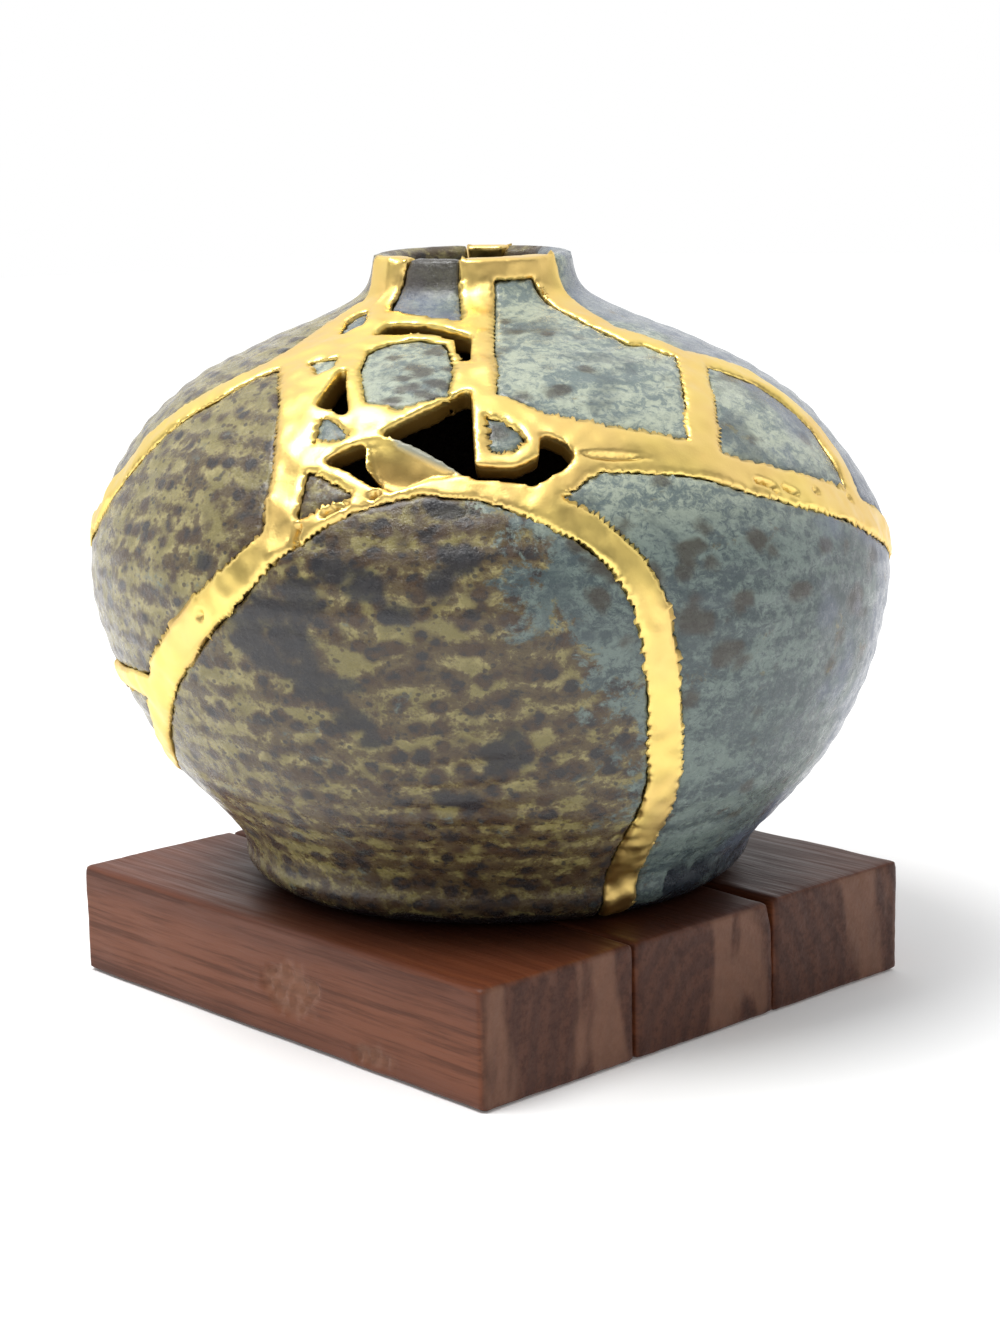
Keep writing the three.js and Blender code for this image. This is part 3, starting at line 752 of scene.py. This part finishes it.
@dataclass(frozen=True)
class Shard:
    """One glazed piece of the broken vessel.

    Attributes:
        node: its node, and the start of its own name.
        grain: size of its mesh's faces, in millimetres.
        ring_step: distance from one throwing ring to the next, in millimetres.
        ring_height: half the height of a ring, in millimetres.
        dent: usual depth of the dents of throwing, in millimetres.
        border: how many degrees round the olive side ends, at distances up the wall.
    """

    node: str
    grain: float = 1.25
    ring_step: float = 6.8
    ring_height: float = 0.17
    dent: float = 0.16
    border: tuple[tuple[float, float], ...] = (
        (0, 28), (35, 25), (80, 14), (103, 5), (123, -1), (150, -8), (190, -14), (212, -14),
    )

    def build(self) -> bpy.types.Object:
        """Shapes the piece."""
        shape = refined_copy(self.node, COARSE_EDGE)
        round_out(shape, 0.0, 0.0)
        piece = new_object(self.node.replace("shard_", "glazed_"), shape)
        remesh(piece, self.grain, 0)
        mesh = piece.data
        points = coordinates(mesh)
        turn, along, depth = WALL.locate(points)
        outer = smooth(1.2, 0.3, depth)
        rings = self.rings(points, along)
        lift = self.throwing(points, along, rings) * outer
        set_coordinates(mesh, points + WALL.outward(turn, along) * lift[:, None])
        self.mark(mesh, turn, along, depth, rings)
        return piece

    def rings(self, points: np.ndarray, along: np.ndarray) -> np.ndarray:
        """How near each point is to the crest of a throwing ring, from -1 to 1."""
        sway = Ripple(3, 70).at(points) * 1.3
        return np.sin((along + sway) * 2 * math.pi / self.ring_step)

    def throwing(self, points: np.ndarray, along: np.ndarray, rings: np.ndarray) -> np.ndarray:
        """Height of the finger rings and small dents of throwing.

        Args:
            points: places of the vertices, in millimetres.
            along: millimetres up the wall.
            rings: how near the crest of a ring each is.

        Returns:
            Millimetres out of the wall, mostly below it.
        """
        strength = 0.55 + 0.45 * Ripple(5, 60).at(points)
        body = smooth(4, 20, along) * smooth(200, 180, along)
        dents = self.dent * Ripple(8, 24).at(points)
        return body * (self.ring_height * strength * rings + dents) - 0.14

    def mark(
        self, mesh: bpy.types.Mesh, turn: np.ndarray, along: np.ndarray, depth: np.ndarray,
        rings: np.ndarray,
    ) -> None:
        """Stores where each glaze lies.

        Args:
            mesh: the piece's mesh.
            turn: degrees round from the front.
            along: millimetres up the wall.
            depth: millimetres below the outer face.
            rings: how near the crest of a throwing ring each vertex is.
        """
        tint = TINTS.get(self.node, Tint())
        border = np.interp(along, *np.array(self.border, float).T)
        far_side = smooth(150, 100, turn)
        celadon = smooth(-9, 9, turn - border) * far_side
        if tint.celadon is not None:
            celadon = np.full(len(turn), tint.celadon)
        # painted top light: the green takes its lit copy up the shoulder, where the light from above falls
        high = smooth(106, 134, along) if tint.high is None else np.full(len(turn), tint.high)
        cover = 0.045 * smooth(-48, -28, turn) + 0.03 * smooth(70, 25, along)
        cover -= 0.02 * smooth(120, 150, along)
        store(mesh, "celadon", celadon)
        store(mesh, "high", high)
        store(mesh, "cover", cover)
        store(mesh, "ring", rings)
        store(mesh, "lavender", np.clip(smooth(38, 78, turn) * far_side + tint.lavender, 0, 1))
        patch = blots(CHARCOAL_BLOTS, turn, along, 51) + 0.8 * blots(RUST_BLOTS, turn, along, 52)
        store(mesh, "patch", np.clip(patch, 0, 1))
        right = smooth(0, 20, turn - border)
        store(mesh, "foot", np.where(right > 0.5, smooth(26, 4, along), smooth(9, 2, along)))
        store(mesh, "smoke", smooth(201, 207, along) * smooth(8, -4, turn) * smooth(-60, -40, turn) * 0.85)
        inside = smooth(2.0, 3.5, depth)
        store(mesh, "inside", inside)
        store(mesh, "throat", smooth(192, 206, along) * inside * 0.75)

    def dress(self, piece: bpy.types.Object, finish: bpy.types.Material) -> None:
        """Glazes the piece and puts it on the frame."""
        settle(piece, finish, self.node)


def settle(piece: bpy.types.Object, finish: bpy.types.Material, node: str) -> None:
    """Gives a piece its material and puts it in its node's place.

    Args:
        piece: the new piece.
        finish: its material.
        node: the node that it stands for.
    """
    piece.data.materials.clear()
    piece.data.materials.append(finish)
    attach(piece, "root")
    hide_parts(node)


# Places on the gold: a sunk fold and its bare edge, a groove, slits from end to end, and pits with radii
FOLD = Patch((
    (-18, 139), (-15.2, 140.2), (-12.7, 139), (-2.3, 129.4), (-7.4, 128.5), (-13, 125),
    (-16, 127.5), (-17.2, 132),
))
FOLD_EDGE = Patch((
    (-13.9, 139.9), (-9.4, 137.6), (-7.2, 135.6), (-2.3, 129.9), (-3.6, 130.2), (-9.3, 134.8),
    (-12.6, 137.3),
))
GROOVE = Patch(((13.9, 134.5), (18.3, 134.4), (22.1, 133.5), (25.8, 131.7), (20.8, 131.7), (16.3, 132.5)))
SLITS = (
    (-26.1, 112, -25.7, 116.4), (-22.2, 119.5, -18.7, 122.3), (-15.6, 124.2, -14.6, 125),
    (42.5, 123.4, 45.5, 121.4), (47.3, 120.6, 49.5, 118.9),
)
PITS = ((45.1, 120.5, 1.3), (54.1, 118.3, 1.3), (63.9, 114.6, 1.5), (-40.8, 94.3, 1.4))


@dataclass(frozen=True)
class GoldSeams:
    """The gold network that holds the shards.

    Attributes:
        node: its node.
        grain: size of its mesh's faces, in millimetres.
        spread: how far its edges lap over the shards beyond the gap, in millimetres.
        proud: how far its face stands out of the wall, in millimetres.
        reach: how near a shard an edge lies that laps over it, in millimetres.
        lip_patch: how far the gold on the left of the lip is raised, in millimetres.
        groove_depth: depth of the groove, in millimetres.
        slit_depth: the same for the slits.
        pit_depth: the same for the pits.
    """

    node: str = "gold_seams"
    grain: float = 0.85
    spread: float = 0.35
    proud: float = 0.55
    reach: float = 1.5
    lip_patch: float = 1.1
    groove_depth: float = 1.5
    slit_depth: float = 2.4
    pit_depth: float = 1.6

    def build(self) -> bpy.types.Object:
        """Shapes the seams."""
        shape = refined_copy(self.node, COARSE_EDGE)
        round_out(shape, self.proud, 0.5)
        piece = new_object("mending_gold", shape)
        remesh(piece, self.grain, 4)
        mesh = piece.data
        points = coordinates(mesh)
        turn, along, depth = WALL.locate(points)
        outward = WALL.outward(turn, along)
        facing = np.sum(normals(mesh) * outward, axis=1)
        # painted shade: share of dark brown down the walls of the openings
        hollow_shade = smooth(0.4, 1.8, depth) * smooth(208, 200, along)
        sunk = self.sink(turn, along)
        # the sunk fold, groove, slits and pits take painted shade too
        hollow_shade = np.maximum(hollow_shade, smooth(1.4, 2.6, sunk) * 0.55)
        top = smooth(0.3, 0.9, facing) * smooth(1.5, 0.0, depth)
        lumps = 0.24 * Ripple(21, 15).at(points) + 0.12 * Ripple(22, 6).at(points)
        raised = self.lip_patch * smooth(202, 207, along) * smooth(-69, -64, turn) * smooth(-45, -50, turn)
        rim = smooth(0.9, 0.3, np.abs(facing)) * smooth(1.0, 0.1, depth)
        gap = self.gap(points, rim > 0.01)
        rim *= gap < self.reach
        wander = np.minimum(gap, self.reach) + self.spread + 0.28 * Ripple(31, 12).at(points)
        sideways = normals(mesh) - outward * facing[:, None]
        through = np.clip((WALL.thickness + 0.5 - depth) / (WALL.thickness + 1.3), 0, 1)
        lift = top * lumps + raised * through - sunk * through
        moved = points + outward * lift[:, None] + sideways * (rim * wander)[:, None]
        set_coordinates(mesh, moved)
        store(mesh, "hollow_shade", hollow_shade)
        store(mesh, "glazed", smooth(-0.6, 0.4, FOLD_EDGE.reach(turn, along)) * smooth(3.0, 1.5, depth))
        return piece

    def sink(self, turn: np.ndarray, along: np.ndarray) -> np.ndarray:
        """How far the surface lies below the seams' usual face.

        Args:
            turn: degrees round from the front.
            along: millimetres up the wall.

        Returns:
            Millimetres, mostly 0.
        """
        fold = FOLD.reach(turn, along)
        below = 139.0 - 0.62 * (turn + 15) - along
        sunk = smooth(-0.4, 1.6, fold) * (1.0 + 0.32 * np.clip(below, 0, 9))
        sunk = np.maximum(sunk, self.groove_depth * smooth(-0.3, 0.9, GROOVE.reach(turn, along)))
        degree = WALL.degree(along)
        for first, low, last, high in SLITS:
            way = np.array([(last - first) * degree.mean(), high - low])
            away = np.column_stack([(turn - first) * degree, along - low])
            part = np.clip(away @ way / (way @ way), 0, 1)
            aside = np.hypot(*(away - part[:, None] * way).T)
            sunk = np.maximum(sunk, self.slit_depth * smooth(1.1, 0.2, aside))
        for angle, up, radius in PITS:
            away = np.hypot((turn - angle) * degree, along - up) / radius
            sunk = np.maximum(sunk, self.pit_depth * smooth(1.1, 0.2, away))
        return sunk

    def gap(self, points: np.ndarray, asked: np.ndarray) -> np.ndarray:
        """Measures how far edge points lie from the nearest shard.

        Args:
            points: places of the vertices, in millimetres.
            asked: which of them are asked about.

        Returns:
            Millimetres, infinite for the others and along the openings.
        """
        shape = bmesh.new()
        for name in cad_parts:
            if name.startswith("shard_"):
                shape.from_mesh(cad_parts[name].data)
        tree = BVHTree.FromBMesh(shape)
        shape.free()
        gap = np.full(len(points), np.inf)
        for index in np.flatnonzero(asked):
            found = tree.find_nearest(Vector(points[index] * MM), 2 * self.reach * MM)
            if found[0] is not None:
                gap[index] = found[3] / MM
        return gap

    def dress(self, piece: bpy.types.Object, finish: bpy.types.Material) -> None:
        """Gilds the seams and puts them on the frame."""
        settle(piece, finish, self.node)


@dataclass(frozen=True)
class Board:
    """One board of the block.

    Attributes:
        node: its node.
        heart: middle of its growth rings across and up, in metres.
        gouges: rough places on its front side: along, up, half length, half height, in millimetres.
        wedge: how far its back upper edge has worn away at its right end, in millimetres.
        arris: rounding of its edges, in millimetres.
        split: longest edge before it is remeshed, in millimetres.
        grain: size of its mesh's faces, in millimetres.
    """

    node: str
    heart: tuple[float, float]
    gouges: tuple[tuple[float, float, float, float], ...] = ()
    wedge: float = 0.0
    arris: float = 1.2
    split: float = 4.4
    grain: float = 1.1

    def build(self) -> bpy.types.Object:
        """Shapes the board."""
        low, high = (np.array(c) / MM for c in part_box(self.node))
        shape = bmesh.new()
        bmesh.ops.create_cube(shape, size=1.0)
        bmesh.ops.scale(shape, vec=Vector((high - low) * MM), verts=shape.verts)
        bmesh.ops.translate(shape, vec=Vector((high + low) / 2 * MM), verts=shape.verts)
        bmesh.ops.bevel(
            shape, geom=shape.edges[:], offset=self.arris * MM, affect="EDGES",
            segments=4, profile=0.5, material=-1,
        )
        for _ in range(SPLIT_ROUNDS + 1):
            long = [e for e in shape.edges if e.calc_length() > self.split * MM]
            if not long:
                break
            bmesh.ops.subdivide_edges(shape, edges=long, cuts=1, use_grid_fill=True)
        bmesh.ops.triangulate(shape, faces=[f for f in shape.faces if len(f.verts) > 4])
        piece = new_object(self.node.replace("base_", "wooden_"), shape)
        remesh(piece, self.grain, 0)
        mesh = piece.data
        points = coordinates(mesh)
        facing = normals(mesh)
        wear = -0.12 + 0.1 * Ripple(41, 30).at(points) + 0.05 * Ripple(42, 5).at(points * [0.2, 1, 1])
        worn = np.zeros(len(points))
        for along, up, length, height in self.gouges:
            away = np.hypot((points[:, 0] - along) / length, (points[:, 2] - up) / height)
            rough = smooth(1.1, 0.5, away + 0.25 * Ripple(43, 8).at(points))
            worn = np.maximum(worn, rough * (facing[:, 1] < -0.5))
        wear -= worn * (0.7 + 0.6 * Ripple(44, 4).at(points))
        moved = points + facing * np.minimum(wear, 0.0)[:, None]
        corner = smooth(high[1] - 5, high[1], points[:, 1]) * smooth(high[2] - 9, high[2], points[:, 2])
        moved[:, 1] -= self.wedge * corner * smooth(48, 74, points[:, 0])
        set_coordinates(mesh, moved)
        reach = np.hypot(points[:, 0] - 3, points[:, 1] - 3)
        store(mesh, "worn", worn * 0.5)
        # upward faces, painted later with the redder top copy as bounce light
        store(mesh, "upward_painted_bounce", smooth(0.6, 0.9, facing[:, 2]))
        store(mesh, "end", smooth(0.6, 0.9, facing[:, 0]))
        store(mesh, "shade", smooth(0.6, 0.9, facing[:, 2]) * smooth(92, 62, reach) * 0.7)
        return piece

    def dress(self, piece: bpy.types.Object, finish: bpy.types.Material) -> None:
        """Oils the board and puts it on the frame."""
        settle(piece, finish, self.node)


@dataclass(frozen=True)
class Camera:
    """The photograph's point of view.

    Attributes:
        focal_pixels: focal length in the photograph's pixels.
        frame_height: height of the photograph in pixels.
        sensor: height of the sensor, in millimetres.
        distance: how far in front of the origin the eye is, in metres.
        height: its height, in metres.
        aside: how far it is to the left, in metres.
        yaw: its turn to the side.
        pitch: its turn down.
        roll: its turn about the line of sight.
    """

    focal_pixels: float = 2500.0
    frame_height: float = 1333.0
    sensor: float = 36.0
    distance: float = 0.6459
    height: float = 0.2037
    aside: float = 0.00303
    yaw: float = math.radians(-0.43)
    pitch: float = math.radians(10.61)
    roll: float = math.radians(-1.20)

    def build(self) -> None:
        """Places the camera."""
        data = bpy.data.cameras.new("view")
        data.lens = self.focal_pixels / self.frame_height * self.sensor
        data.sensor_width = self.sensor
        turn = FRONT_AZIMUTH + self.yaw
        ahead = Vector((-math.sin(turn) * math.cos(self.pitch), math.cos(turn) * math.cos(self.pitch),
                        -math.sin(self.pitch)))
        right = ahead.cross(Vector((0, 0, 1))).normalized()
        up = right.cross(ahead)
        rolled = right * math.cos(self.roll) + up * math.sin(self.roll)
        lifted = up * math.cos(self.roll) - right * math.sin(self.roll)
        thing = bpy.data.objects.new("view", data)
        matrix = Matrix((rolled, lifted, -ahead)).transposed().to_4x4()
        matrix.translation = (
            Vector((math.sin(FRONT_AZIMUTH), -math.cos(FRONT_AZIMUTH), 0)) * self.distance
            - Vector(TO_RIGHT) * self.aside + Vector((0, 0, self.height))
        )
        thing.matrix_world = matrix
        bpy.context.scene.collection.objects.link(thing)
        bpy.context.scene.camera = thing


@dataclass(frozen=True)
class Studio:
    """A white floor under soft lights, with a white wall behind and a darker room in front.

    Attributes:
        floor_size: side of the floor, in metres.
        room: brightness of the front of the room by the sine of the elevation.
        glow: light of the floor itself, near the vase and far from it.
        glow_span: distances from the origin between which that changes, in metres.
        lights: name, place as light() takes it, side in metres and power in watts of each.
    """

    floor_size: float = 12.0
    room: tuple[tuple[float, float], ...] = ((0.0, 0.62), (0.2, 0.55), (0.42, 0.2), (0.8, 0.3), (0.92, 1.0))
    glow: tuple[float, float] = (0.08, 0.42)
    glow_span: tuple[float, float] = (0.15, 0.6)
    lights: tuple[tuple[str, tuple[float, float, float], float, float], ...] = (
        ("key", (-0.45, -0.3, 1.3), 0.6, 14),
        ("fill", (1.1, -0.8, 0.7), 0.8, 0.6),
    )

    def light(self, name: str, place: tuple[float, float, float], size: float, power: float) -> None:
        """Adds a square soft light aimed at the vase.

        Args:
            name: its name.
            place: to the right, to the back and up, in metres, as the camera sees it.
            size: its side, in metres.
            power: its power, in watts.
        """
        data = bpy.data.lights.new(name, "AREA")
        data.size = size
        data.energy = power
        thing = bpy.data.objects.new(name, data)
        where = Vector(TO_RIGHT) * place[0] + Vector(TO_BACK) * place[1] + Vector((0, 0, place[2]))
        thing.location = where
        thing.rotation_mode = "QUATERNION"
        thing.rotation_quaternion = (Vector((0, 0, 0.1)) - where).to_track_quat("-Z", "Y")
        bpy.context.scene.collection.objects.link(thing)

    def sky(self) -> None:
        """Makes a world that is white behind and banded in front."""
        world = bpy.data.worlds.new("studio")
        world.use_nodes = True
        tree = world.node_tree
        way = tree.nodes.new("ShaderNodeTexCoord").outputs["Generated"]
        parts = tree.nodes.new("ShaderNodeSeparateXYZ")
        tree.links.new(way, parts.inputs[0])
        bands = tree.nodes.new("ShaderNodeValToRGB")
        while len(bands.color_ramp.elements) < len(self.room):
            bands.color_ramp.elements.new(0.5)
        for element, (place, value) in zip(bands.color_ramp.elements, self.room):
            element.position = place
            element.color = (value, value, value, 1)
        tree.links.new(parts.outputs["Z"], bands.inputs["Fac"])
        ahead = tree.nodes.new("ShaderNodeVectorMath")
        ahead.operation = "DOT_PRODUCT"
        ahead.inputs[1].default_value = TO_BACK
        tree.links.new(way, ahead.inputs[0])
        behind = tree.nodes.new("ShaderNodeMapRange")
        behind.interpolation_type = "SMOOTHSTEP"
        behind.inputs["From Min"].default_value = -0.2
        behind.inputs["From Max"].default_value = 0.2
        tree.links.new(ahead.outputs["Value"], behind.inputs["Value"])
        mixed = tree.nodes.new("ShaderNodeMix")
        mixed.data_type = "RGBA"
        mixed.inputs[7].default_value = (1, 1, 1, 1)
        tree.links.new(behind.outputs["Result"], mixed.inputs["Factor"])
        tree.links.new(bands.outputs["Color"], mixed.inputs[6])
        tree.links.new(mixed.outputs[2], tree.nodes["Background"].inputs["Color"])
        bpy.context.scene.world = world

    def build(self) -> None:
        """Sets up the floor, the lights and the world."""
        shape = bmesh.new()
        bmesh.ops.create_grid(shape, x_segments=1, y_segments=1, size=self.floor_size / 2)
        floor = new_object("floor", shape)
        s = Sockets("floor_white")
        s.shader.inputs["Base Color"].default_value = (0.93, 0.93, 0.93, 1)
        s.shader.inputs["Roughness"].default_value = 0.9
        s.shader.inputs["Specular IOR Level"].default_value = 0.0
        s.shader.inputs["Emission Color"].default_value = (1, 1, 1, 1)
        away = s.add("ShaderNodeVectorMath", operation="LENGTH")
        s.feed(away.inputs[0], s.place)
        glow = s.span(away.outputs["Value"], *self.glow_span, *self.glow)
        s.feed(s.shader.inputs["Emission Strength"], glow)
        floor.data.materials.append(s.material)
        self.sky()
        for name, place, size, power in self.lights:
            self.light(name, place, size, power)
        bpy.context.scene.view_settings.view_transform = "Standard"


BOARDS = (
    Board("base_board_front", (-0.09, -0.03), ((7, 14, 12, 7), (38, 4.5, 9, 3))),
    Board("base_board_middle", (0.03, -0.06), wedge=1.8),
    Board("base_board_back", (0.05, 0.07)),
)


def main() -> None:
    """Builds the camera, the studio and every piece in order."""
    logging.basicConfig(level=logging.INFO, format="%(message)s")
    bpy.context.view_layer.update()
    Camera().build()
    Studio().build()
    glaze = Glaze().make()
    parts = [(Shard(node), glaze) for node in sorted(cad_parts) if node.startswith("shard_")]
    parts.append((GoldSeams(), Gold().make()))
    for board in BOARDS:
        parts.append((board, Wood(board.node.replace("base_", "wood_"), board.heart).make()))
    for part, finish in parts:
        piece = part.build()
        part.dress(piece, finish)
        log.info("%s: %d faces", piece.name, len(piece.data.polygons))


if __name__ == "__main__":
    main()
